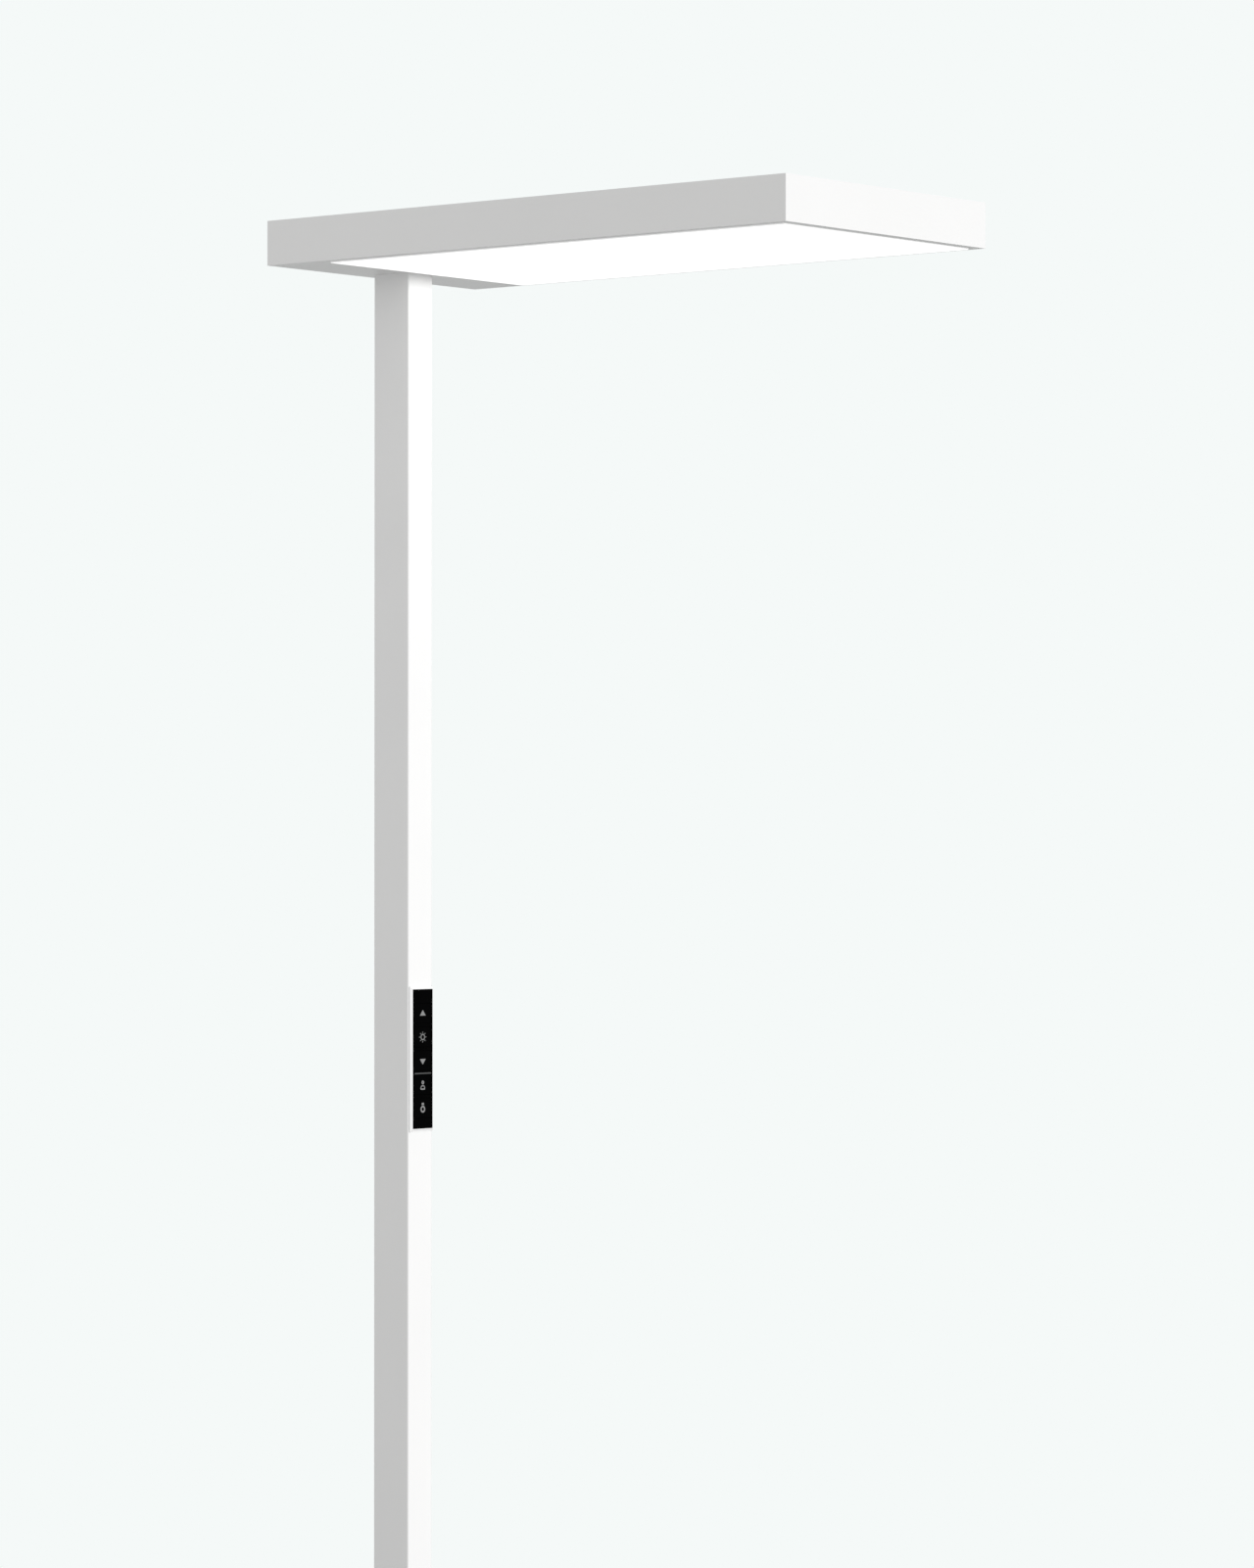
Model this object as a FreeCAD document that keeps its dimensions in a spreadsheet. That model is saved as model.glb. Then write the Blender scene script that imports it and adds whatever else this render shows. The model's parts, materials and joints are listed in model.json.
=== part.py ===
import FreeCAD, Part
import math
import os

import Sketcher

# An office floor lamp: a flat rectangular head that lights down and up stands near one short end
# on a rectangular column, which carries a panel of five push keys and stands on a base plate.
#
# Frame: millimetres, +Z up, +X along the head towards its free end. The origin is on the floor,
# under the middle of the head. The column stands near the head's -X end.

SIZES = {
    # whole lamp
    "overall_height": 1950.0,
    "fit_gap": 0.3,
    "thread_gap": 0.1,
    # head: one pressed shell with walls, a returned rim and a closed bay at the column's end
    "head_length": 615.0,
    "head_width": 300.0,
    "head_height": 42.0,
    "shell_wall": 2.0,
    "shell_floor": 2.0,
    "shell_round": 0.8,
    "rim_width": 11.0,
    "bay_length": 70.0,
    # light outlet below: a dished opal panel on a foam seal, proud of the rim
    "diffuser_sheet": 2.0,
    "diffuser_proud": 1.2,
    "diffuser_flange": 8.5,
    "diffuser_round": 0.5,
    "seal_thick": 0.8,
    "seal_width": 6.0,
    # gear pan: a folded tray, open below, that presses on the diffuser's flange
    "pan_sheet": 1.0,
    "pan_height": 20.0,
    "pan_wall_gap": 1.0,
    "pan_hole_radius": 4.0,
    # corner posts that take the cover's screws, and blocks that press the pan down
    "post_side": 8.4,
    "post_bore": 1.3,
    "block_length": 16.0,
    "block_pitch": 320.0,
    # top cover with the uplight window
    "cover_sheet": 1.5,
    "uplight_sheet": 2.0,
    "uplight_border": 45.0,
    "uplight_flange": 6.0,
    "cover_screw_head": 2.7,
    "cover_screw_shank": 1.2,
    "cover_screw_length": 9.0,
    # light boards
    "board_thick": 1.6,
    "board_length": 486.0,
    "down_board_width": 20.0,
    "down_board_pitch": 64.0,
    "down_boards": 4,
    "down_leds": 8,
    "up_board_width": 24.0,
    "up_board_pitch": 116.0,
    "up_boards": 2,
    "up_leds": 10,
    "led_side": 3.0,
    "led_height": 0.7,
    # gear in the bay
    "driver_width": 40.0,
    "driver_height": 27.0,
    "driver_round": 3.0,
    "control_width": 40.0,
    "control_height": 18.0,
    "strap_sheet": 1.0,
    "strap_width": 12.0,
    "strap_foot": 6.0,
    "terminal_length": 24.0,
    "terminal_width": 30.0,
    "terminal_height": 17.0,
    "terminal_step": 7.0,
    "terminal_pitch": 9.0,
    "terminal_poles": 3,
    "terminal_port": 4.4,
    "gear_spacing": 2.0,
    "terminal_spacing": 8.0,
    "lead_thick": 1.2,
    "lead_width": 4.0,
    "mains_lead_width": 12.0,
    "lead_landing": 8.0,
    # head bracket over the column
    "bracket_plate": 3.0,
    "bracket_half_width": 34.0,
    "bracket_wing": 12.0,
    "bracket_margin": 3.0,
    "bracket_bend": 4.0,
    "cable_hole": 7.0,
    "cable_hole_shift": 2.7,
    "grommet_wall": 1.6,
    "grommet_lip": 1.8,
    "joint_screw_head": 4.6,
    "joint_screw_head_height": 3.5,
    "joint_screw_bite": 18.0,
    # column: an extruded tube with four screw ports
    "column_inset": 16.4,
    "column_depth": 44.7,
    "column_width": 34.5,
    "column_wall": 2.0,
    "column_round": 2.0,
    "port_side": 6.6,
    "port_inset": 5.3,
    "port_bore": 2.1,
    "clearance_hole": 2.75,
    # key panel on the column's +X face
    "panel_level": 1158.9,
    "panel_height": 132.7,
    "panel_width": 28.4,
    "panel_raise": 2.7,
    "bezel_border": 2.4,
    "bezel_chamfer": 1.9,
    "bezel_wall": 2.0,
    "bezel_depth": 7.4,
    "bezel_end_wall": 4.0,
    "fascia_thick": 1.2,
    "fascia_gap": 0.1,
    "key_count": 5,
    "key_pitch": 22.6,
    "key_shift": 1.8,
    "key_width": 22.4,
    "key_height": 19.4,
    "key_gap": 0.25,
    "key_lip": 0.7,
    "key_lip_thick": 1.0,
    "key_bevel": 0.3,
    "key_play": 0.2,
    "key_travel": 0.4,
    "stem_side": 3.0,
    "switch_side": 6.0,
    "switch_height": 3.5,
    "plunger_side": 3.4,
    "plunger_height": 0.8,
    "snap_width": 8.0,
    "snap_bite": 0.8,
    "snap_thick": 1.2,
    "plug_length": 10.0,
    "plug_width": 8.0,
    "plug_height": 6.8,
    # cord gland near the foot
    "gland_level": 68.0,
    "gland_bore": 3.5,
    "gland_throat": 4.4,
    "gland_thread": 6.0,
    "gland_hex": 8.0,
    "gland_flange_length": 4.0,
    "gland_cap": 7.4,
    "gland_cap_length": 6.5,
    "gland_nose": 5.2,
    "gland_nose_length": 1.5,
    "gland_tail": 7.0,
    "gland_nut": 8.3,
    "gland_nut_height": 3.0,
    # base plate, its pads and its bolts
    "plate_length": 420.0,
    "plate_width": 300.0,
    "plate_thick": 8.0,
    "plate_corner": 4.0,
    "plate_edge": 1.0,
    "pad_height": 3.0,
    "pad_side": 24.0,
    "pad_inset": 24.0,
    "pad_rows": 2,
    "base_bolt_head": 4.6,
    "base_bolt_head_height": 3.5,
    "base_bolt_bite": 24.0,
    "base_sink_radius": 6.0,
    "base_sink_depth": 4.5,
}

# Places that follow from the sizes, as formulas for the sheet's names.
UNDERSIDE = "(overall_height - head_height)"
COLUMN_END = "(-head_length/2)"
FREE_END = "(head_length/2)"
HALF_WIDTH = "(head_width/2)"
WINDOW_LOW = "(bay_length - head_length/2)"
WINDOW_HIGH = "(head_length/2 - rim_width)"
WINDOW_HALF = "(head_width/2 - rim_width)"
FLANGE_LEVEL = "(shell_floor + seal_thick)"
FLANGE_TOP = "(shell_floor + seal_thick + diffuser_sheet)"
PAN_TOP = "(shell_floor + seal_thick + diffuser_sheet + pan_height)"
PAN_LOW = "(bay_length - head_length/2 - diffuser_flange + pan_wall_gap)"
PAN_HIGH = "(head_length/2 - shell_wall - pan_wall_gap)"
PAN_HALF = "(head_width/2 - shell_wall - pan_wall_gap)"
PAN_CENTRE = f"(({PAN_LOW} + {PAN_HIGH})/2)"
COVER_UNDER = "(head_height - cover_sheet)"
POST_OFFSET = "(shell_wall + fit_gap + post_side/2)"
BAY_CENTRE = f"(({COLUMN_END} + shell_wall + {PAN_LOW})/2)"
COLUMN_CENTRE = "(column_inset + column_depth/2 - head_length/2)"
COLUMN_FACE = "(column_inset + column_depth - head_length/2)"
LEAD_X = f"({COLUMN_FACE} - bezel_depth - plug_height/2)"
CABLE_X = f"({LEAD_X} - cable_hole_shift)"
BOARD_END = f"({PAN_CENTRE} - board_length/2)"
LANDING = f"({BOARD_END} + lead_landing)"
PLATE_TOP = "(pad_height + plate_thick)"
COLUMN_LENGTH = "(overall_height - head_height - pad_height - plate_thick)"
DRIVER_END = "(bracket_half_width + gear_spacing)"
DRIVER_LENGTH = f"({HALF_WIDTH} - shell_wall - gear_spacing - {DRIVER_END})"
DRIVER_FACE = f"({BAY_CENTRE} + driver_width/2)"
TERMINAL_END = "(-bracket_half_width - terminal_spacing)"
CONTROL_END = f"({TERMINAL_END} - terminal_length - gear_spacing)"
CONTROL_LENGTH = f"({HALF_WIDTH} - shell_wall - gear_spacing + {CONTROL_END})"
CROSSING = "(shell_floor + bracket_wing + gear_spacing + lead_thick/2)"
PORT_X = "(column_depth/2 - port_inset)"
PORT_Y = "(column_width/2 - port_inset)"
CAVITY_WIDTH = "(key_width + 2*key_lip + 2*fit_gap)"
CAVITY_HEIGHT = "((key_count - 1)*key_pitch + key_height + 2*key_lip + 2*fit_gap)"
SLEEVE_WIDTH = f"({CAVITY_WIDTH} + 2*bezel_wall)"
SLEEVE_HEIGHT = f"({CAVITY_HEIGHT} + 2*bezel_end_wall)"
LIP_LEVEL = "(panel_raise - fascia_thick - key_play - key_lip_thick)"
KEY_BOARD_FRONT = "(board_thick - bezel_depth)"
SWITCH_TOP = f"({KEY_BOARD_FRONT} + switch_height + plunger_height)"
STEM_LENGTH = f"({LIP_LEVEL} - {SWITCH_TOP} - key_travel - key_play)"
SIGNS = (-1, 1)

doc = FreeCAD.newDocument("floor_lamp")
sheet = doc.addObject("Spreadsheet::Sheet", "sizes")
NODES = []


def fill_sheet():
    """Write every driving size into the sheet under its own alias."""
    for row, (alias, number) in enumerate(SIZES.items(), start=1):
        sheet.set(f"A{row}", alias)
        sheet.set(f"B{row}", str(number))
        sheet.setAlias(f"B{row}", alias)
    doc.recompute()


def size(alias):
    """The sheet's number under an alias, for what counts or routes in this file."""
    return float(sheet.get(alias))


def in_sheet(formula):
    """Spell a formula's size names as references to the sheet."""
    words = []
    word = ""
    for letter in str(formula) + " ":
        if letter.isalnum() or letter in "_.":
            word += letter
            continue
        words.append(f"sizes.{word}" if word in SIZES else word)
        words.append(letter)
        word = ""
    return "".join(words).strip()


def bind(item, name, formula):
    """Tie one property of an object to a formula of the sheet's sizes."""
    item.setExpression(name, in_sheet(formula))


def place(item, x="0", y="0", z="0", turn=None):
    """Give an object its place by formulas, after an optional turn."""
    if turn is not None:
        item.Placement = FreeCAD.Placement(FreeCAD.Vector(), turn)
    for axis, formula in zip("xyz", (x, y, z)):
        bind(item, f"Placement.Base.{axis}", formula)
    return item


def node(item, name):
    """Name a finished sub-part, which becomes one exported file."""
    item.Label = name
    NODES.append(item)
    return item


OUT_OF_PANEL = FreeCAD.Rotation(FreeCAD.Vector(0, 1, 0), FreeCAD.Vector(0, 0, 1),
                                FreeCAD.Vector(1, 0, 0), "XYZ")
OUT_OF_BACK = FreeCAD.Rotation(FreeCAD.Vector(0, -1, 0), FreeCAD.Vector(0, 0, 1),
                               FreeCAD.Vector(-1, 0, 0), "XYZ")
UPSIDE_DOWN = FreeCAD.Rotation(FreeCAD.Vector(1, 0, 0), 180)


# ---- sketches, bodies and their features


def new_body(name):
    return doc.addObject("PartDesign::Body", name)


def sketch(body, name, level="0", role="XY_Plane"):
    """A sketch on one of the body's own planes, lifted off it by a formula."""
    drawn = body.newObject("Sketcher::SketchObject", name)
    plane = next(item for item in body.Origin.OriginFeatures if item.Role == role)
    drawn.AttachmentSupport = [(plane, "")]
    drawn.MapMode = "FlatFace"
    bind(drawn, "AttachmentOffset.Base.z", level)
    return drawn


def pin_down(drawn, kind, edge, end, formula):
    """Fix one coordinate of a sketch point to a formula."""
    index = drawn.addConstraint(Sketcher.Constraint(kind, -1, 1, edge, end, 1.0))
    name = f"fixed_{index}"
    drawn.renameConstraint(index, name)
    bind(drawn, f"Constraints.{name}", formula)


def polygon(drawn, corners):
    """A closed outline through corners that are given as pairs of formulas."""
    count = len(corners)
    first = drawn.GeometryCount
    for step in range(count):
        angle = 2 * math.pi * step / count
        ahead = 2 * math.pi * (step + 1) / count
        start = FreeCAD.Vector(math.cos(angle), math.sin(angle), 0)
        end = FreeCAD.Vector(math.cos(ahead), math.sin(ahead), 0)
        drawn.addGeometry(Part.LineSegment(start, end))
    for step in range(count):
        following = first + (step + 1) % count
        drawn.addConstraint(Sketcher.Constraint("Coincident", first + step, 2, following, 1))
    for step, (x, y) in enumerate(corners):
        pin_down(drawn, "DistanceX", first + step, 1, x)
        pin_down(drawn, "DistanceY", first + step, 1, y)


def rectangle(drawn, low_x, high_x, low_y, high_y):
    polygon(drawn, [(low_x, low_y), (high_x, low_y), (high_x, high_y), (low_x, high_y)])


def centred(drawn, length, width, x="0", y="0"):
    """A rectangle of a length and width about a centre."""
    rectangle(drawn, f"{x} - {length}/2", f"{x} + {length}/2",
              f"{y} - {width}/2", f"{y} + {width}/2")


def circle(drawn, radius, x="0", y="0"):
    edge = drawn.addGeometry(Part.Circle(FreeCAD.Vector(), FreeCAD.Vector(0, 0, 1), 1.0))
    pin_down(drawn, "DistanceX", edge, 3, x)
    pin_down(drawn, "DistanceY", edge, 3, y)
    index = drawn.addConstraint(Sketcher.Constraint("Radius", edge, 1.0))
    drawn.renameConstraint(index, f"radius_{index}")
    bind(drawn, f"Constraints.radius_{index}", radius)


def hexagon(drawn, radius):
    """A hexagon with its corners on a circle of the given radius."""
    corners = []
    for step in range(6):
        angle = math.radians(60 * step)
        corners.append((f"{radius}*{math.cos(angle):.6f}", f"{radius}*{math.sin(angle):.6f}"))
    polygon(drawn, corners)


def pad(body, drawn, name, length, downwards=False):
    made = body.newObject("PartDesign::Pad", name)
    made.Profile = drawn
    made.Reversed = downwards
    bind(made, "Length", length)
    return made


def pocket(body, drawn, name, depth=None, upwards=False):
    """Cut a sketch into the body, to a depth or through all of it."""
    doc.recompute()
    before = body.Shape.Volume
    made = body.newObject("PartDesign::Pocket", name)
    made.Profile = drawn
    made.Reversed = upwards
    if depth is None:
        made.Type = "ThroughAll"
    else:
        bind(made, "Length", depth)
    doc.recompute()
    if not body.Shape.Volume < before:
        raise RuntimeError(f"{name} cuts nothing")
    return made


def edges_where(shape, test):
    """Names of the shape's edges whose middle and direction pass a test."""
    found = []
    for number, edge in enumerate(shape.Edges, start=1):
        low, high = edge.ParameterRange
        middle = edge.valueAt((low + high) / 2)
        along = edge.tangentAt((low + high) / 2)
        if test(middle, along):
            found.append(f"Edge{number}")
    return found


def dress(body, kind, name, amount, test):
    """Round or bevel the edges of the body that pass a test."""
    doc.recompute()
    base = body.Tip
    made = body.newObject(f"PartDesign::{kind}", name)
    made.Base = (base, edges_where(base.Shape, test))
    bind(made, "Size" if kind == "Chamfer" else "Radius", amount)
    doc.recompute()
    return made


def upright(middle, along):
    return abs(along.z) > 0.999


# ---- primitives and groups


def box(name, length, width, height, x, y, z):
    """A block whose place is the middle of its lower face."""
    made = doc.addObject("Part::Box", name)
    bind(made, "Length", length)
    bind(made, "Width", width)
    bind(made, "Height", height)
    return place(made, f"{x} - {length}/2", f"{y} - {width}/2", z)


def cylinder(name, radius, height, level="0"):
    made = doc.addObject("Part::Cylinder", name)
    bind(made, "Radius", radius)
    bind(made, "Height", height)
    return place(made, z=level)


def cone(name, radius_low, radius_high, height, level="0"):
    made = doc.addObject("Part::Cone", name)
    bind(made, "Radius1", radius_low)
    bind(made, "Radius2", radius_high)
    bind(made, "Height", height)
    return place(made, z=level)


def prism(name, radius, height, level="0"):
    made = doc.addObject("Part::Prism", name)
    made.Polygon = 6
    bind(made, "Circumradius", radius)
    bind(made, "Height", height)
    return place(made, z=level)


def fuse(name, items):
    made = doc.addObject("Part::MultiFuse", name)
    made.Shapes = items
    made.Refine = True
    return made


def cut(name, base, tool):
    made = doc.addObject("Part::Cut", name)
    made.Base = base
    made.Tool = tool
    return made


def group(name, items):
    """Several like solids that share one node."""
    made = doc.addObject("Part::Compound", name)
    made.Links = items
    return node(made, name)


def flat_screw(name, head, shank, length):
    """A countersunk screw, its flat face at z = 0 and its shank along -Z."""
    cone_part = cone(f"{name}_head", shank, head, f"({head}) - ({shank})",
                     f"({shank}) - ({head})")
    stem = cylinder(f"{name}_shank", shank, f"({length}) - ({head}) + ({shank})",
                    f"-({length})")
    return fuse(name, [cone_part, stem])


def hex_screw(name, head, head_height, shank, length):
    """A hexagon screw, its head on z = 0 and its shank along -Z."""
    top = prism(f"{name}_head", head, head_height)
    stem = cylinder(f"{name}_shank", shank, length, f"-({length})")
    return fuse(name, [top, stem])


def ribbon(name, role, points, runs, width):
    """A flat lead in one of the body's planes, folded at square turns.

    Each run is the unit step from one point to the next, so the path's two sides
    are half a thickness to its left and to its right.
    """
    body = new_body(name)
    drawn = sketch(body, f"{name}_path", role=role)
    left = []
    right = []
    for number, (x, y) in enumerate(points):
        beside = runs[max(number - 1, 0):number + 1]
        across_x = -sum(step[1] for step in beside)
        across_y = sum(step[0] for step in beside)
        left.append((f"{x} + {across_x}*lead_thick/2", f"{y} + {across_y}*lead_thick/2"))
        right.append((f"{x} - {across_x}*lead_thick/2", f"{y} - {across_y}*lead_thick/2"))
    polygon(drawn, left + right[::-1])
    strip = pad(body, drawn, f"{name}_strip", width)
    strip.Midplane = True
    return body


# ---- head shell and covers


def port_places():
    """The four screw ports about the column's axis, in the head's plan."""
    return [(f"{COLUMN_CENTRE} + {sx}*{PORT_X}", f"{sy}*{PORT_Y}") for sx in SIGNS for sy in SIGNS]


def make_head_frame():
    body = new_body("head_frame")
    outline = sketch(body, "frame_outline")
    rectangle(outline, COLUMN_END, FREE_END, f"-{HALF_WIDTH}", HALF_WIDTH)
    pad(body, outline, "frame_block", "head_height")
    dress(body, "Fillet", "frame_corners", "shell_round", upright)
    hollow = sketch(body, "frame_hollow", "head_height")
    rectangle(hollow, f"{COLUMN_END} + shell_wall", f"{FREE_END} - shell_wall",
              f"shell_wall - {HALF_WIDTH}", f"{HALF_WIDTH} - shell_wall")
    pocket(body, hollow, "frame_inside", "head_height - shell_floor")
    window = sketch(body, "frame_window", "shell_floor")
    rectangle(window, WINDOW_LOW, WINDOW_HIGH, f"-{WINDOW_HALF}", WINDOW_HALF)
    pocket(body, window, "frame_light_outlet")
    holes = sketch(body, "frame_holes", "shell_floor")
    circle(holes, "cable_hole", CABLE_X)
    for x, y in port_places():
        circle(holes, "clearance_hole", x, y)
    pocket(body, holes, "frame_column_holes")
    place(body, z=UNDERSIDE)
    return node(body, "head_frame")


def light_outline(drawn, margin, notch):
    """The window's outline grown by a margin, its free-end corners notched for the posts."""
    low = f"({WINDOW_LOW} - {margin})"
    high = f"({WINDOW_HIGH} + {margin})"
    half = f"({WINDOW_HALF} + {margin})"
    polygon(drawn, [(low, f"-{half}"), (f"{high} - {notch}", f"-{half}"),
                    (f"{high} - {notch}", f"{notch} - {half}"), (high, f"{notch} - {half}"),
                    (high, f"{half} - {notch}"), (f"{high} - {notch}", f"{half} - {notch}"),
                    (f"{high} - {notch}", half), (low, half)])


def make_diffuser():
    body = new_body("diffuser")
    flange = sketch(body, "diffuser_flange_outline", FLANGE_LEVEL)
    light_outline(flange, "diffuser_flange", "diffuser_flange")
    pad(body, flange, "diffuser_flange_sheet", "diffuser_sheet")
    dish = sketch(body, "diffuser_dish_outline", "-diffuser_proud")
    rectangle(dish, f"{WINDOW_LOW} + fit_gap", f"{WINDOW_HIGH} - fit_gap",
              f"fit_gap - {WINDOW_HALF}", f"{WINDOW_HALF} - fit_gap")
    pad(body, dish, "diffuser_dish", f"diffuser_proud + {FLANGE_TOP}")
    inside = sketch(body, "diffuser_inside_outline", FLANGE_TOP)
    edge = "(fit_gap + diffuser_sheet)"
    rectangle(inside, f"{WINDOW_LOW} + {edge}", f"{WINDOW_HIGH} - {edge}",
              f"{edge} - {WINDOW_HALF}", f"{WINDOW_HALF} - {edge}")
    pocket(body, inside, "diffuser_inside", f"diffuser_proud + {FLANGE_TOP} - diffuser_sheet")
    proud = size("diffuser_proud")
    dress(body, "Fillet", "diffuser_soft_edge", "diffuser_round",
          lambda middle, along: abs(middle.z + proud) < 0.01)
    place(body, z=UNDERSIDE)
    return node(body, "diffuser")


def make_diffuser_seal():
    """Four foam strips between the returned rim and the diffuser's flange."""
    inset = "(diffuser_flange - seal_width/2)"
    long_run = f"({WINDOW_HIGH} - {WINDOW_LOW} + diffuser_flange)"
    across = f"(2*{WINDOW_HALF})"
    middle = f"(({WINDOW_HIGH} + {WINDOW_LOW} - diffuser_flange)/2)"
    level = f"{UNDERSIDE} + shell_floor"
    strips = []
    for sy in SIGNS:
        strips.append(box(f"seal_side_{sy + 1}", long_run, "seal_width", "seal_thick",
                          middle, f"{sy}*({WINDOW_HALF} + {inset})", level))
    for name, x in (("near", f"{WINDOW_LOW} - {inset}"), ("far", f"{WINDOW_HIGH} + {inset}")):
        strips.append(box(f"seal_{name}_end", "seal_width", across, "seal_thick", x, "0", level))
    return group("diffuser_seal", strips)


def pan_outline(drawn, inwards):
    """The gear pan's plan, with notches round the posts at the free end."""
    low = f"({PAN_LOW} + {inwards})"
    high = f"({PAN_HIGH} - {inwards})"
    half = f"({PAN_HALF} - {inwards})"
    notch = "(post_side + fit_gap)"
    polygon(drawn, [(low, f"-{half}"), (f"{high} - {notch}", f"-{half}"),
                    (f"{high} - {notch}", f"{notch} - {half}"), (high, f"{notch} - {half}"),
                    (high, f"{half} - {notch}"), (f"{high} - {notch}", f"{half} - {notch}"),
                    (f"{high} - {notch}", half), (low, half)])


PAN_HOLE_X = f"({PAN_LOW} + 3*pan_hole_radius)"
PAN_HOLE_Y = "((down_boards - 1)/2*down_board_pitch - (down_board_width - lead_width)/4)"


def make_gear_pan():
    body = new_body("gear_pan")
    outline = sketch(body, "pan_outline", FLANGE_TOP)
    pan_outline(outline, "0")
    pad(body, outline, "pan_block", "pan_height")
    inside = sketch(body, "pan_inside_outline", FLANGE_TOP)
    pan_outline(inside, "pan_sheet")
    pocket(body, inside, "pan_inside", "pan_height - pan_sheet", upwards=True)
    hole = sketch(body, "pan_wire_hole", PAN_TOP)
    circle(hole, "pan_hole_radius", PAN_HOLE_X, PAN_HOLE_Y)
    pocket(body, hole, "pan_wire_opening", "2*pan_sheet")
    place(body, z=UNDERSIDE)
    return node(body, "gear_pan")


def post_places():
    """The head's four corners, inside its walls."""
    return [(f"{sx}*(head_length/2 - {POST_OFFSET})", f"{sy}*(head_width/2 - {POST_OFFSET})")
            for sx in SIGNS for sy in SIGNS]


def make_corner_posts():
    posts = []
    for number, (x, y) in enumerate(post_places(), start=1):
        height = f"({COVER_UNDER} - shell_floor)"
        block = box(f"corner_post_{number}_block", "post_side", "post_side", height,
                    "0", "0", "0")
        bore = cylinder(f"corner_post_{number}_bore", "post_bore", height)
        post = cut(f"corner_post_{number}", block, bore)
        posts.append(place(post, x, y, f"{UNDERSIDE} + shell_floor"))
    return group("corner_posts", posts)


def make_pan_blocks():
    """Foam blocks between the pan's long edges and the top cover."""
    blocks = []
    for sx in SIGNS:
        for sy in SIGNS:
            blocks.append(box(f"pan_block_{sx + 1}_{sy + 1}", "block_length", "post_side",
                              f"({COVER_UNDER} - {PAN_TOP})",
                              f"{PAN_CENTRE} + {sx}*block_pitch/2",
                              f"{sy}*(head_width/2 - {POST_OFFSET})",
                              f"{UNDERSIDE} + {PAN_TOP}"))
    return group("pan_blocks", blocks)


UPLIGHT_LOW = f"({PAN_LOW} + uplight_border/2)"
UPLIGHT_HIGH = f"({PAN_HIGH} - uplight_border/2)"
UPLIGHT_HALF = "(head_width/2 - uplight_border)"


def make_top_cover():
    body = new_body("top_cover_plate")
    outline = sketch(body, "cover_outline", COVER_UNDER)
    edge = "(shell_wall + fit_gap)"
    rectangle(outline, f"{COLUMN_END} + {edge}", f"{FREE_END} - {edge}",
              f"{edge} - {HALF_WIDTH}", f"{HALF_WIDTH} - {edge}")
    rectangle(outline, UPLIGHT_LOW, UPLIGHT_HIGH, f"-{UPLIGHT_HALF}", UPLIGHT_HALF)
    pad(body, outline, "cover_sheet_metal", "cover_sheet")
    place(body, z=UNDERSIDE)
    sinks = []
    for number, (x, y) in enumerate(post_places(), start=1):
        tool = flat_screw(f"cover_sink_{number}", "(cover_screw_head + thread_gap)",
                          "(cover_screw_shank + thread_gap)", "3*cover_sheet")
        sinks.append(place(tool, x, y, "overall_height"))
    tools = doc.addObject("Part::Compound", "cover_sinks")
    tools.Links = sinks
    return node(cut("top_cover", body, tools), "top_cover")


def make_top_cover_screws():
    screws = []
    for number, (x, y) in enumerate(post_places(), start=1):
        screw = flat_screw(f"cover_screw_{number}", "cover_screw_head", "cover_screw_shank",
                           "cover_screw_length")
        screws.append(place(screw, x, y, "overall_height"))
    return group("top_cover_screws", screws)


def make_uplight_cover():
    body = new_body("uplight_cover")
    flange = sketch(body, "uplight_flange_outline", f"{COVER_UNDER} - uplight_sheet")
    rectangle(flange, f"{UPLIGHT_LOW} - uplight_flange", f"{UPLIGHT_HIGH} + uplight_flange",
              f"-{UPLIGHT_HALF} - uplight_flange", f"{UPLIGHT_HALF} + uplight_flange")
    pad(body, flange, "uplight_flange_sheet", "uplight_sheet")
    face = sketch(body, "uplight_face_outline", COVER_UNDER)
    rectangle(face, f"{UPLIGHT_LOW} + fit_gap", f"{UPLIGHT_HIGH} - fit_gap",
              f"fit_gap - {UPLIGHT_HALF}", f"{UPLIGHT_HALF} - fit_gap")
    pad(body, face, "uplight_face", "cover_sheet")
    place(body, z=UNDERSIDE)
    return node(body, "uplight_cover")


# ---- light boards


def row_places(count_name, pitch_name):
    """Centres of equal rows about the head's middle line, as formulas."""
    return [f"({row} - ({count_name} - 1)/2)*{pitch_name}" for row in range(int(size(count_name)))]


def make_light_boards():
    """Boards with their rows of diodes, taped under the pan and on top of it."""
    under = f"({UNDERSIDE} + {PAN_TOP} - pan_sheet - board_thick)"
    over = f"({UNDERSIDE} + {PAN_TOP})"
    for side, low, led_low in (("down", under, f"{under} - led_height"),
                               ("up", over, f"{over} + board_thick")):
        boards = []
        diodes = []
        leds = f"{side}_leds"
        for row, y in enumerate(row_places(f"{side}_boards", f"{side}_board_pitch"), start=1):
            boards.append(box(f"{side}_board_{row}", "board_length", f"{side}_board_width",
                              "board_thick", PAN_CENTRE, y, low))
            for number in range(int(size(leds))):
                x = f"{PAN_CENTRE} + ({number} - ({leds} - 1)/2)*board_length/{leds}"
                diodes.append(box(f"{side}_led_{row}_{number}", "led_side", "led_side",
                                  "led_height", x, y, led_low))
        group(f"{side}light_boards", boards)
        group(f"{side}light_leds", diodes)


# ---- gear in the bay


def make_gear_box(name, length, width, height, middle):
    """A gear case on the bay's floor, with rounded upright edges."""
    body = new_body(name)
    outline = sketch(body, f"{name}_outline")
    centred(outline, width, length)
    pad(body, outline, f"{name}_case", height)
    dress(body, "Fillet", f"{name}_edges", "driver_round", upright)
    place(body, BAY_CENTRE, middle, f"{UNDERSIDE} + shell_floor")
    return node(body, name)


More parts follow.
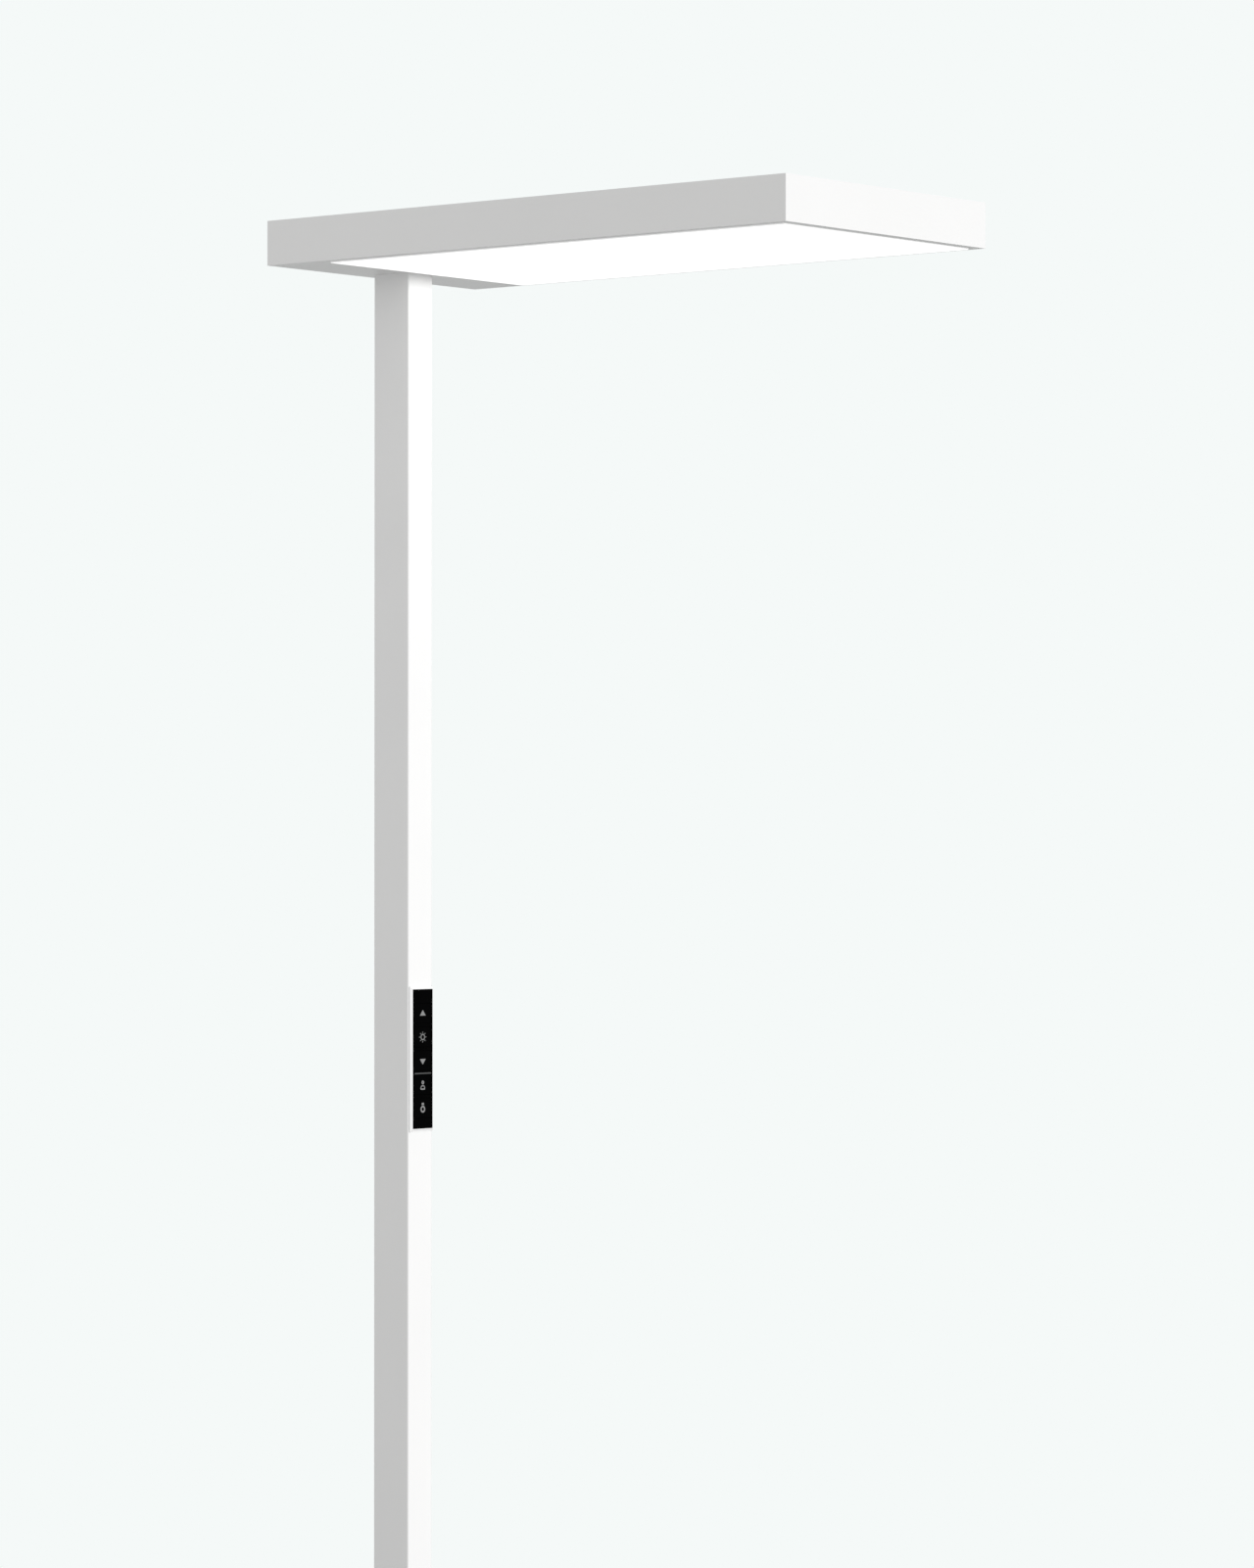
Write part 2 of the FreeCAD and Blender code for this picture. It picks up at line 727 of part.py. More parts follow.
def make_gear_straps():
    """Sheet straps, welded to the floor by their feet, that hold the two gear cases down."""
    straps = []
    for name, width, height, middle in (
            ("driver", "driver_width", "driver_height", f"{DRIVER_END} + {DRIVER_LENGTH}/3"),
            ("control", "control_width", "control_height", f"{CONTROL_END} - {CONTROL_LENGTH}/2")):
        body = new_body(f"{name}_strap")
        section = sketch(body, f"{name}_strap_section", role="XZ_Plane")
        inner = f"({width}/2 + fit_gap)"
        outer = f"({inner} + strap_sheet)"
        toe = f"({outer} + strap_foot)"
        top = f"({height} + strap_sheet)"
        polygon(section, [(f"-{toe}", "0"), (f"-{inner}", "0"), (f"-{inner}", height),
                          (inner, height), (inner, "0"), (toe, "0"), (toe, "strap_sheet"),
                          (outer, "strap_sheet"), (outer, top), (f"-{outer}", top),
                          (f"-{outer}", "strap_sheet"), (f"-{toe}", "strap_sheet")])
        sheet_metal = pad(body, section, f"{name}_strap_sheet", "strap_width")
        sheet_metal.Midplane = True
        straps.append(place(body, BAY_CENTRE, middle, f"{UNDERSIDE} + shell_floor"))
    return group("gear_straps", straps)


def make_terminal_block():
    """A stepped block with a wire port on each side of every pole."""
    body = new_body("terminal_block")
    outline = sketch(body, "terminal_outline", role="YZ_Plane")
    half = "terminal_length/2"
    step = "terminal_height - terminal_step"
    inner = "(terminal_length/2 - terminal_step)"
    polygon(outline, [(f"-{half}", "0"), (half, "0"), (half, step), (inner, step),
                      (inner, "terminal_height"), (f"-{inner}", "terminal_height"),
                      (f"-{inner}", step), (f"-{half}", step)])
    solid = pad(body, outline, "terminal_case", "terminal_width")
    solid.Midplane = True
    ports = sketch(body, "terminal_ports", "terminal_length/2", "XZ_Plane")
    for x in row_places("terminal_poles", "terminal_pitch"):
        centred(ports, "terminal_port", "terminal_port", x, f"({step})/2")
    pocket(body, ports, "terminal_wire_ports")
    place(body, BAY_CENTRE, f"{TERMINAL_END} - terminal_length/2", f"{UNDERSIDE} + shell_floor")
    return node(body, "terminal_block")


def make_head_bracket():
    """A folded steel channel that spreads the head's load over the column's end."""
    body = new_body("head_bracket")
    outline = sketch(body, "bracket_section", role="YZ_Plane")
    half = "bracket_half_width"
    inner = "(bracket_half_width - bracket_plate)"
    polygon(outline, [(f"-{half}", "0"), (half, "0"), (half, "bracket_wing"),
                      (inner, "bracket_wing"), (inner, "bracket_plate"),
                      (f"-{inner}", "bracket_plate"), (f"-{inner}", "bracket_wing"),
                      (f"-{half}", "bracket_wing")])
    low = f"({COLUMN_END} + shell_wall + bracket_margin)"
    length = f"({COLUMN_FACE} - {low})"
    solid = pad(body, outline, "bracket_channel", length)
    solid.Midplane = True
    outer = size("bracket_half_width")
    dress(body, "Fillet", "bracket_bends", "bracket_bend",
          lambda middle, along: abs(along.x) > 0.999 and middle.z < 0.01
          and abs(abs(middle.y) - outer) < 0.01)
    holes = sketch(body, "bracket_holes", "bracket_plate")
    shift = f"({COLUMN_CENTRE} - ({low} + {COLUMN_FACE})/2)"
    circle(holes, "cable_hole", f"{CABLE_X} - ({low} + {COLUMN_FACE})/2")
    for sx in SIGNS:
        for sy in SIGNS:
            circle(holes, "clearance_hole", f"{shift} + {sx}*{PORT_X}", f"{sy}*{PORT_Y}")
    pocket(body, holes, "bracket_column_holes")
    place(body, f"({low} + {COLUMN_FACE})/2", "0", f"{UNDERSIDE} + shell_floor")
    return node(body, "head_bracket")


def make_head_screws():
    screws = []
    for number, (x, y) in enumerate(port_places(), start=1):
        screw = hex_screw(f"head_screw_{number}", "joint_screw_head", "joint_screw_head_height",
                          "(port_bore - thread_gap)",
                          "(bracket_plate + shell_floor + joint_screw_bite)")
        screws.append(place(screw, x, y, f"{UNDERSIDE} + shell_floor + bracket_plate"))
    return group("head_bracket_screws", screws)


def make_cable_grommet():
    """A rubber ring that lines the cable hole through the bracket and the shell."""
    body = new_body("cable_grommet")
    lip = sketch(body, "grommet_lip_outline")
    circle(lip, "(cable_hole + grommet_lip)")
    pad(body, lip, "grommet_lip", "grommet_wall")
    sleeve = sketch(body, "grommet_sleeve_outline")
    circle(sleeve, "(cable_hole - thread_gap)")
    pad(body, sleeve, "grommet_sleeve", "(bracket_plate + shell_floor)", downwards=True)
    bore = sketch(body, "grommet_bore_outline", "grommet_wall")
    circle(bore, "(cable_hole - grommet_wall)")
    pocket(body, bore, "grommet_bore")
    place(body, CABLE_X, "0", f"{UNDERSIDE} + shell_floor + bracket_plate")
    return node(body, "cable_grommet")


# ---- column


def make_column():
    body = new_body("column")
    outline = sketch(body, "column_outline")
    centred(outline, "column_depth", "column_width")
    pad(body, outline, "column_bar", COLUMN_LENGTH)
    dress(body, "Fillet", "column_corners", "column_round", upright)
    chamber = sketch(body, "column_chamber")
    long_half = "(column_depth/2 - column_wall)"
    wide_half = "(column_width/2 - column_wall)"
    long_step = f"({long_half} - port_side)"
    wide_step = f"({wide_half} - port_side)"
    corners = [(long_half, wide_step), (long_step, wide_step), (long_step, wide_half)]
    around = []
    for sx, sy in ((1, 1), (-1, 1), (-1, -1), (1, -1)):
        turned = [(f"{sx}*{x}", f"{sy}*{y}") for x, y in corners]
        around += turned if sx == sy else turned[::-1]
    polygon(chamber, around)
    for sx in SIGNS:
        for sy in SIGNS:
            circle(chamber, "port_bore", f"{sx}*{PORT_X}", f"{sy}*{PORT_Y}")
    pocket(body, chamber, "column_inside", upwards=True)
    middle = f"(panel_level - {PLATE_TOP})"
    opening = sketch(body, "column_panel_opening", "column_depth/2", "YZ_Plane")
    centred(opening, f"({SLEEVE_WIDTH} + 2*fit_gap)", f"({SLEEVE_HEIGHT} + 2*fit_gap)",
            y=f"{middle} - key_shift")
    pocket(body, opening, "column_panel_cutout", "bezel_depth + snap_thick + fit_gap")
    entry = sketch(body, "column_gland_hole", "-column_depth/2", "YZ_Plane")
    circle(entry, "gland_thread + thread_gap", y=f"gland_level - {PLATE_TOP}")
    pocket(body, entry, "column_gland_opening", "2*column_wall", upwards=True)
    place(body, COLUMN_CENTRE, "0", PLATE_TOP)
    return node(body, "column")


# ---- key panel


def on_panel(body):
    """Seat a panel piece: its local XY plane lies on the column's +X face."""
    return place(body, COLUMN_FACE, "0", "panel_level", OUT_OF_PANEL)


def key_places():
    """Heights of the keys above the panel's middle, from the top one down."""
    return [f"(((key_count - 1)/2 - {row})*key_pitch - key_shift)"
            for row in range(int(size("key_count")))]


def make_panel_bezel():
    """The white surround: a sleeve through the column's wall, snap ribs behind it, board hooks."""
    body = new_body("panel_bezel")
    outline = sketch(body, "bezel_outline")
    centred(outline, "(panel_width + 2*bezel_border)", "(panel_height + 2*bezel_border)")
    pad(body, outline, "bezel_frame", "panel_raise")
    front = size("panel_raise")
    dress(body, "Chamfer", "bezel_slopes", "bezel_chamfer",
          lambda middle, along: abs(middle.z - front) < 0.01)
    sleeve = sketch(body, "bezel_sleeve_outline")
    centred(sleeve, SLEEVE_WIDTH, SLEEVE_HEIGHT, y="-key_shift")
    pad(body, sleeve, "bezel_sleeve", "bezel_depth", downwards=True)
    recess = sketch(body, "bezel_fascia_recess", "panel_raise")
    centred(recess, "(panel_width + 2*fascia_gap)", "(panel_height + 2*fascia_gap)")
    pocket(body, recess, "bezel_fascia_seat", "fascia_thick")
    cavity = sketch(body, "bezel_cavity_outline", "panel_raise")
    centred(cavity, CAVITY_WIDTH, CAVITY_HEIGHT, y="-key_shift")
    pocket(body, cavity, "bezel_cavity")
    seat = sketch(body, "bezel_board_recess", "-bezel_depth")
    centred(seat, f"({CAVITY_WIDTH} + bezel_wall)", f"({CAVITY_HEIGHT} + bezel_wall)",
            y="-key_shift")
    pocket(body, seat, "bezel_board_seat", "board_thick", upwards=True)
    hooks = sketch(body, "bezel_hooks_outline", "-bezel_depth")
    ribs = sketch(body, "bezel_ribs_outline", "-column_wall")
    for sign in SIGNS:
        inner = f"({CAVITY_HEIGHT}/2 + bezel_wall/2 - fit_gap - snap_bite)"
        outer = f"({SLEEVE_HEIGHT}/2)"
        centred(hooks, "snap_width", f"({outer} - {inner})",
                y=f"{sign}*({outer} + {inner})/2 - key_shift")
        centred(ribs, "snap_width", "(2*snap_bite)", y=f"{sign}*{outer} - key_shift")
    pad(body, hooks, "bezel_board_hooks", "snap_thick", downwards=True)
    pad(body, ribs, "bezel_snap_ribs", "snap_thick", downwards=True)
    return node(on_panel(body), "panel_bezel")


def make_panel_fascia():
    body = new_body("panel_fascia")
    outline = sketch(body, "fascia_outline", "panel_raise - fascia_thick")
    centred(outline, "panel_width", "panel_height")
    for y in key_places():
        centred(outline, "(key_width + 2*key_gap)", "(key_height + 2*key_gap)", y=y)
    pad(body, outline, "fascia_plate", "fascia_thick")
    return node(on_panel(body), "panel_fascia")


def make_keys():
    """Five key caps: a face in the fascia's window, a lip behind it and a stem to the switch."""
    names = ("key_brighter", "key_light", "key_dimmer", "key_presence", "key_daylight")
    front = size("panel_raise")
    for name, y in zip(names, key_places()):
        body = new_body(name)
        lip = sketch(body, f"{name}_lip_outline", LIP_LEVEL)
        centred(lip, "(key_width + 2*key_lip)", "(key_height + 2*key_lip)")
        pad(body, lip, f"{name}_lip", "key_lip_thick")
        face = sketch(body, f"{name}_face_outline", LIP_LEVEL)
        centred(face, "key_width", "key_height")
        pad(body, face, f"{name}_face", f"panel_raise - {LIP_LEVEL}")
        dress(body, "Chamfer", f"{name}_edge", "key_bevel",
              lambda middle, along: abs(middle.z - front) < 0.01)
        stem = sketch(body, f"{name}_stem_outline", LIP_LEVEL)
        centred(stem, "stem_side", "stem_side")
        pad(body, stem, f"{name}_stem", STEM_LENGTH, downwards=True)
        place(body, COLUMN_FACE, "0", f"panel_level + {y}", OUT_OF_PANEL)
        node(body, name)


def make_key_board():
    body = new_body("key_board")
    outline = sketch(body, "key_board_outline", "-bezel_depth")
    centred(outline, f"({CAVITY_WIDTH} + bezel_wall - 2*fit_gap)",
            f"({CAVITY_HEIGHT} + bezel_wall - 2*fit_gap)", y="-key_shift")
    pad(body, outline, "key_board_plate", "board_thick")
    return node(on_panel(body), "key_board")


def make_key_switches():
    switches = []
    for number, y in enumerate(key_places(), start=1):
        case = box(f"switch_{number}_case", "switch_side", "switch_side", "switch_height",
                   "0", "0", KEY_BOARD_FRONT)
        plunger = box(f"switch_{number}_plunger", "plunger_side", "plunger_side",
                      "plunger_height", "0", "0", f"{KEY_BOARD_FRONT} + switch_height")
        switch = fuse(f"switch_{number}", [case, plunger])
        switches.append(place(switch, COLUMN_FACE, "0", f"panel_level + {y}", OUT_OF_PANEL))
    return group("key_switches", switches)


def make_lead_plug():
    """The plug that joins the control lead to the back of the key board."""
    body = new_body("lead_plug")
    outline = sketch(body, "plug_outline", "-bezel_depth")
    centred(outline, "plug_width", "plug_length")
    pad(body, outline, "plug_case", "plug_height", downwards=True)
    return node(on_panel(body), "lead_plug")


# ---- leads


def make_control_lead():
    """A flat lead from the key board's plug up the column's chamber to the control unit."""
    start = "panel_level + plug_length/2"
    level = f"{UNDERSIDE} + {CROSSING}"
    body = ribbon("control_lead", "YZ_Plane",
                  [("0", start), ("0", level), (CONTROL_END, level)], [(0, 1), (-1, 0)],
                  "lead_width")
    return node(place(body, LEAD_X), "control_lead")


def make_head_leads():
    """Flat leads among the terminals, the gear cases and the light boards."""
    port = "(shell_floor + (terminal_height - terminal_step)/2)"
    exit_y = f"({TERMINAL_END} + terminal_spacing/2)"
    mains = ribbon("mains_lead", "YZ_Plane",
                   [(TERMINAL_END, port), (exit_y, port), (exit_y, CROSSING),
                    (DRIVER_END, CROSSING)],
                   [(1, 0), (0, 1), (1, 0)], "mains_lead_width")
    place(mains, f"{BAY_CENTRE} - mains_lead_width/2", "0", UNDERSIDE)
    control_top = "(shell_floor + control_height)"
    over = f"({control_top} + 2*gear_spacing)"
    dip = f"({CONTROL_END} - 2*lead_landing)"
    link = ribbon("control_link", "YZ_Plane",
                  [(dip, control_top), (dip, over), (DRIVER_END, over)], [(0, 1), (1, 0)],
                  "lead_width")
    place(link, f"{BAY_CENTRE} + lead_landing", "0", UNDERSIDE)
    return [mains, link]


def make_board_leads():
    """Feeds from the driver to the light boards, and the strip that joins the lower boards."""
    row = "(up_board_pitch/2 - up_board_width/4)"
    above = f"({UNDERSIDE} + {PAN_TOP} + board_thick + lead_thick/2)"
    near = ribbon("near_up_feed", "XY_Plane", [(DRIVER_FACE, row), (LANDING, row)], [(1, 0)],
                  "lead_thick")
    turn_x = f"({DRIVER_FACE} - lead_landing)"
    far = ribbon("far_up_feed", "XY_Plane",
                 [(turn_x, DRIVER_END), (turn_x, f"-{row}"), (LANDING, f"-{row}")],
                 [(0, -1), (1, 0)], "lead_thick")
    for lead in (near, far):
        place(lead, z=above)
    entry = f"({PAN_TOP} + board_thick + lead_thick/2)"
    below = f"({PAN_TOP} - pan_sheet - board_thick - lead_thick/2)"
    down = ribbon("down_feed", "XZ_Plane",
                  [(DRIVER_FACE, entry), (PAN_HOLE_X, entry), (PAN_HOLE_X, below),
                   (LANDING, below)],
                  [(1, 0), (0, -1), (1, 0)], "lead_width")
    place(down, "0", PAN_HOLE_Y, UNDERSIDE)
    span = "((down_boards - 1)*down_board_pitch + down_board_width)"
    strip = box("down_link", "lead_width", span, "lead_thick",
                f"{LANDING} + lead_width", "0", f"{UNDERSIDE} + {below} - lead_thick/2")
    return [near, far, down, strip]


# ---- cord gland


def make_cord_gland():
    """A screwed gland in the column's back: tail, flange and cap nut round the cord's bore."""
    body = new_body("cord_gland")
    flange = sketch(body, "gland_flange_outline")
    hexagon(flange, "gland_hex")
    pad(body, flange, "gland_flange", "gland_flange_length")
    cap = sketch(body, "gland_cap_outline", "gland_flange_length")
    hexagon(cap, "gland_cap")
    pad(body, cap, "gland_cap", "gland_cap_length")
    nose = sketch(body, "gland_nose_outline", "gland_flange_length + gland_cap_length")
    circle(nose, "gland_nose")
    pad(body, nose, "gland_nose", "gland_nose_length")
    tail = sketch(body, "gland_tail_outline")
    circle(tail, "gland_thread")
    pad(body, tail, "gland_tail_tube", "gland_tail", downwards=True)
    bore = sketch(body, "gland_bore_outline",
                  "gland_flange_length + gland_cap_length + gland_nose_length")
    circle(bore, "gland_bore")
    pocket(body, bore, "gland_cord_bore")
    throat = sketch(body, "gland_throat_outline", "-gland_tail")
    circle(throat, "gland_throat")
    pocket(body, throat, "gland_wide_throat", "gland_tail", upwards=True)
    place(body, f"{COLUMN_FACE} - column_depth", "0", "gland_level", OUT_OF_BACK)
    return node(body, "cord_gland")


def make_gland_nut():
    blank = prism("gland_nut_blank", "gland_nut", "gland_nut_height")
    bore = cylinder("gland_nut_bore", "gland_thread + thread_gap", "gland_nut_height")
    nut = cut("gland_nut_ring", blank, bore)
    inside = f"{COLUMN_FACE} - column_depth + column_wall + gland_nut_height"
    return node(place(nut, inside, "0", "gland_level", OUT_OF_BACK), "gland_nut")


# ---- base


PLATE_LOW = COLUMN_END
PLATE_CENTRE = f"({COLUMN_END} + plate_length/2)"


def make_base_plate():
    body = new_body("base_plate")
    outline = sketch(body, "plate_outline")
    centred(outline, "plate_length", "plate_width")
    pad(body, outline, "plate_slab", "plate_thick")
    dress(body, "Fillet", "plate_corners", "plate_corner", upright)
    top = size("plate_thick")
    dress(body, "Chamfer", "plate_top_edge", "plate_edge",
          lambda middle, along: abs(middle.z - top) < 0.01)
    sinks = sketch(body, "plate_bolt_sinks")
    holes = sketch(body, "plate_bolt_holes")
    for x, y in port_places():
        circle(sinks, "base_sink_radius", f"{x} - {PLATE_CENTRE}", y)
        circle(holes, "clearance_hole", f"{x} - {PLATE_CENTRE}", y)
    pocket(body, sinks, "plate_sinks", "base_sink_depth", upwards=True)
    pocket(body, holes, "plate_holes", upwards=True)
    place(body, PLATE_CENTRE, "0", "pad_height")
    return node(body, "base_plate")


def make_base_bolts():
    """Bolts from below into the column's ports, their heads sunk clear of the floor."""
    bolts = []
    for number, (x, y) in enumerate(port_places(), start=1):
        bolt = hex_screw(f"base_bolt_{number}", "base_bolt_head", "base_bolt_head_height",
                         "(port_bore - thread_gap)",
                         "(plate_thick - base_sink_depth + base_bolt_bite)")
        bolts.append(place(bolt, x, y, "pad_height + base_sink_depth", UPSIDE_DOWN))
    return group("base_bolts", bolts)


def make_base_pads():
    pads = []
    reach = "(plate_length/2 - pad_inset)"
    for row in range(int(size("pad_rows"))):
        for sy in SIGNS:
            x = f"{PLATE_CENTRE} + ({row} - (pad_rows - 1)/2)*2*{reach}/(pad_rows - 1)"
            pads.append(box(f"base_pad_{row}_{sy + 1}", "pad_side", "pad_side", "pad_height",
                            x, f"{sy}*(plate_width/2 - pad_inset)", "0"))
    return group("base_pads", pads)


# ---- checks and export


def check_document():
    """Stop on any object that failed to build and on any sub-part without a valid shape."""
    doc.recompute()
    for item in doc.Objects:
        if "Invalid" in item.State or "Error" in item.State:
            raise RuntimeError(f"{item.Name} failed: {item.State}")
    for item in NODES:
        if item.Shape.isNull() or not item.Shape.isValid():
            raise RuntimeError(f"{item.Label} has no valid shape")


def export_nodes():
    os.makedirs("parts", exist_ok=True)
    for item in NODES:
        item.Shape.exportStep(f"parts/{item.Label}.step")
        print(item.Label, len(item.Shape.Solids), "solids", round(item.Shape.Volume), "mm3")


fill_sheet()
make_head_frame()
make_diffuser()
make_diffuser_seal()
make_gear_pan()
make_corner_posts()
make_pan_blocks()
make_top_cover()
make_top_cover_screws()
make_uplight_cover()
make_light_boards()
make_gear_box("led_driver", DRIVER_LENGTH, "driver_width", "driver_height",
              f"{DRIVER_END} + {DRIVER_LENGTH}/2")
make_gear_box("control_unit", CONTROL_LENGTH, "control_width", "control_height",
              f"{CONTROL_END} - {CONTROL_LENGTH}/2")
make_gear_straps()
make_terminal_block()
make_head_bracket()
make_head_screws()
make_cable_grommet()
make_column()
make_panel_bezel()
make_panel_fascia()
make_keys()
make_key_board()
make_key_switches()
make_lead_plug()
make_cord_gland()
make_gland_nut()
make_base_plate()
make_base_bolts()
make_base_pads()
make_control_lead()
group("head_leads", make_head_leads() + make_board_leads())
check_document()
export_nodes()
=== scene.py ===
"""Looks of the office floor lamp: materials, key symbols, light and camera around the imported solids."""
import json
import math

import bmesh
import bpy
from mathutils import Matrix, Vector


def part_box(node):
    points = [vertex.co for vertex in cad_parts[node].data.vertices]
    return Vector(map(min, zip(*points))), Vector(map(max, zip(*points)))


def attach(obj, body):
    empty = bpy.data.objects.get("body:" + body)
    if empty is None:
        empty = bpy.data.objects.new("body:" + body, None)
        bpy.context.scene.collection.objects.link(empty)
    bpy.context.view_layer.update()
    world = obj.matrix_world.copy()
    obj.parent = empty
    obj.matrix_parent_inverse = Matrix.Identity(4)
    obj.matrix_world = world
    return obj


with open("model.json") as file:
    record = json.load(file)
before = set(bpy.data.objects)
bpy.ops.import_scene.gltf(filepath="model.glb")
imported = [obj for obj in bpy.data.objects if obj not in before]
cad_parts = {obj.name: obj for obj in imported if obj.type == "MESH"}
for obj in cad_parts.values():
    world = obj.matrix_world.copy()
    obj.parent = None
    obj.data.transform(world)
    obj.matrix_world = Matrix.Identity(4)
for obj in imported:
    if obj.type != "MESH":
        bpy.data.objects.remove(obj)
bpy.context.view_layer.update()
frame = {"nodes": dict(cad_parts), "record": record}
nodes = frame["nodes"]
MM = 0.001
HALF_BOARD = 12 * MM
UP_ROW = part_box("uplight_boards")[1].y - HALF_BOARD


# ---------------------------------------------------------------- materials

class Looks:
    """A node tree around one Principled shader, filled step by step."""

    def __init__(self, name, **fixed):
        self.material = bpy.data.materials.new(name)
        self.material.use_nodes = True
        self.tree = self.material.node_tree
        self.shader = self.tree.nodes["Principled BSDF"]
        for socket, number in fixed.items():
            self.shader.inputs[socket.replace("_", " ")].default_value = number
        self.place = self.add("ShaderNodeTexCoord").outputs["Object"]

    def add(self, kind, **inputs):
        made = self.tree.nodes.new(kind)
        for socket, number in inputs.items():
            made.inputs[socket].default_value = number
        return made

    def join(self, start, end):
        self.tree.links.new(start, end)

    def stretched(self, x, y, z):
        """Coordinates drawn out along an axis whose factor is small."""
        mapping = self.add("ShaderNodeMapping")
        mapping.inputs["Scale"].default_value = (x, y, z)
        self.join(self.place, mapping.inputs["Vector"])
        return mapping.outputs["Vector"]

    def noise(self, grain, detail=2.0, place=None):
        """Noise whose lumps are about grain metres wide."""
        made = self.add("ShaderNodeTexNoise", Scale=1.0 / grain, Detail=detail)
        self.join(place or self.place, made.inputs["Vector"])
        return made.outputs["Fac"]

    def cells(self, grain, output="Color"):
        """Cells about grain metres wide."""
        made = self.add("ShaderNodeTexVoronoi", Scale=1.0 / grain)
        self.join(self.place, made.inputs["Vector"])
        return made.outputs[output]

    def between(self, source, low, high, start=0.3, stop=0.7):
        """A number that runs from low to high as the source runs from start to stop."""
        made = self.add("ShaderNodeMapRange")
        for place, number in enumerate((start, stop, low, high)):
            made.inputs[place + 1].default_value = number
        self.join(source, made.inputs[0])
        return made.outputs[0]

    def colours(self, source, low, high, start=0.3, stop=0.7):
        """A colour that runs from low to high as the source runs from start to stop."""
        made = self.add("ShaderNodeValToRGB")
        for element, place, colour in zip(made.color_ramp.elements, (start, stop), (low, high)):
            element.position = place
            element.color = (*colour, 1.0)
        self.join(source, made.inputs["Fac"])
        return made.outputs["Color"]

    def mixed(self, share, start, end):
        """The colour start where the share is 0, and the colour from the end socket where it is 1."""
        made = self.add("ShaderNodeMix")
        made.data_type = "RGBA"
        sockets = [i for i in made.inputs if i.type == "RGBA"]
        sockets[0].default_value = (*start, 1.0)
        self.join(end, sockets[1])
        self.join(share, made.inputs[0])
        return [o for o in made.outputs if o.type == "RGBA"][0]

    def paint(self, source, low, high, socket="Base Color", start=0.3, stop=0.7):
        self.join(self.colours(source, low, high, start, stop), self.shader.inputs[socket])

    def vary(self, socket, source, low, high, start=0.3, stop=0.7):
        self.join(self.between(source, low, high, start, stop), self.shader.inputs[socket])

    def measure(self, operation, source, number=0.0):
        """The result of a maths operation on the source and, where it takes one, a number."""
        made = self.add("ShaderNodeMath")
        made.operation = operation
        made.inputs[1].default_value = number
        self.join(source, made.inputs[0])
        return made.outputs[0]

    def relief(self, *layers):
        """Bumps laid over each other, each a (source, height in metres) pair."""
        normal = None
        for source, height in layers:
            bump = self.add("ShaderNodeBump", Strength=1.0, Distance=height)
            self.join(source, bump.inputs["Height"])
            if normal:
                self.join(normal, bump.inputs["Normal"])
            normal = bump.outputs["Normal"]
        self.join(normal, self.shader.inputs["Normal"])


ROUGH_SPREAD = 0.07
COAT_CLOUD = 0.008
COAT_TINT = 0.002


def grey(level, tint=0.0):
    """A grey of this level, a little warmer where tint is positive."""
    return level + tint / 2, level, level - tint


def moulded(name, colour, rough=0.45, grain=0.0009, depth=0.00003, spread=0.05, **fixed):
    """Moulded or cast material: a faint cloudiness in the colour and a fine eroded skin."""
    looks = Looks(name, **fixed)
    cloud = looks.noise(0.03, 3.0)
    skin = looks.noise(grain, 3.0)
    low = tuple(c * (1.0 - spread) for c in colour)
    high = tuple(min(c * (1.0 + spread), 1.0) for c in colour)
    looks.paint(cloud, low, high)
    looks.vary("Roughness", skin, rough - ROUGH_SPREAD, rough + ROUGH_SPREAD)
    looks.relief((skin, depth))
    return looks


def powder_coat(name, level, drawn=False):
    """Satin powder coat with the fine orange peel of baked powder, and upright die lines if drawn."""
    looks = Looks(name, Specular_IOR_Level=0.4)
    cloud = looks.noise(0.12, 2.0)
    peel = looks.noise(0.0016, 2.0)
    fine = looks.noise(0.0004, 1.0)
    looks.paint(cloud, grey(level - COAT_CLOUD, COAT_TINT), grey(level + COAT_CLOUD, COAT_TINT))
    looks.vary("Roughness", peel, 0.46, 0.58)
    layers = [(peel, 0.00004), (fine, 0.000008)]
    if drawn:
        lines = looks.noise(0.0035, 2.0, looks.stretched(1.0, 1.0, 0.004))
        layers.append((lines, 0.00003))
    looks.relief(*layers)
    return looks


def zinc(name, level, spangle):
    """Zinc-coated steel with its crystal pattern."""
    looks = Looks(name, Metallic=1.0)
    crystals = looks.cells(spangle)
    dirt = looks.noise(0.02, 3.0)
    looks.paint(crystals, grey(level * 0.86, -0.01), grey(level * 1.12, -0.01), start=0.1, stop=0.9)
    looks.vary("Roughness", dirt, 0.26, 0.42)
    looks.relief((crystals, 0.00001))
    return looks


# Painted shade on the diffuser's turned-up edge: the mask runs from the face, whose normal points down,
# to the edge, which gets a dark grey colour and a weaker glow.
FACE_DOWN = -0.8
EDGE_STARTS = -0.5
EDGE_SHADE_COLOUR = grey(0.40)
EDGE_SHADED_GLOW = grey(0.75)


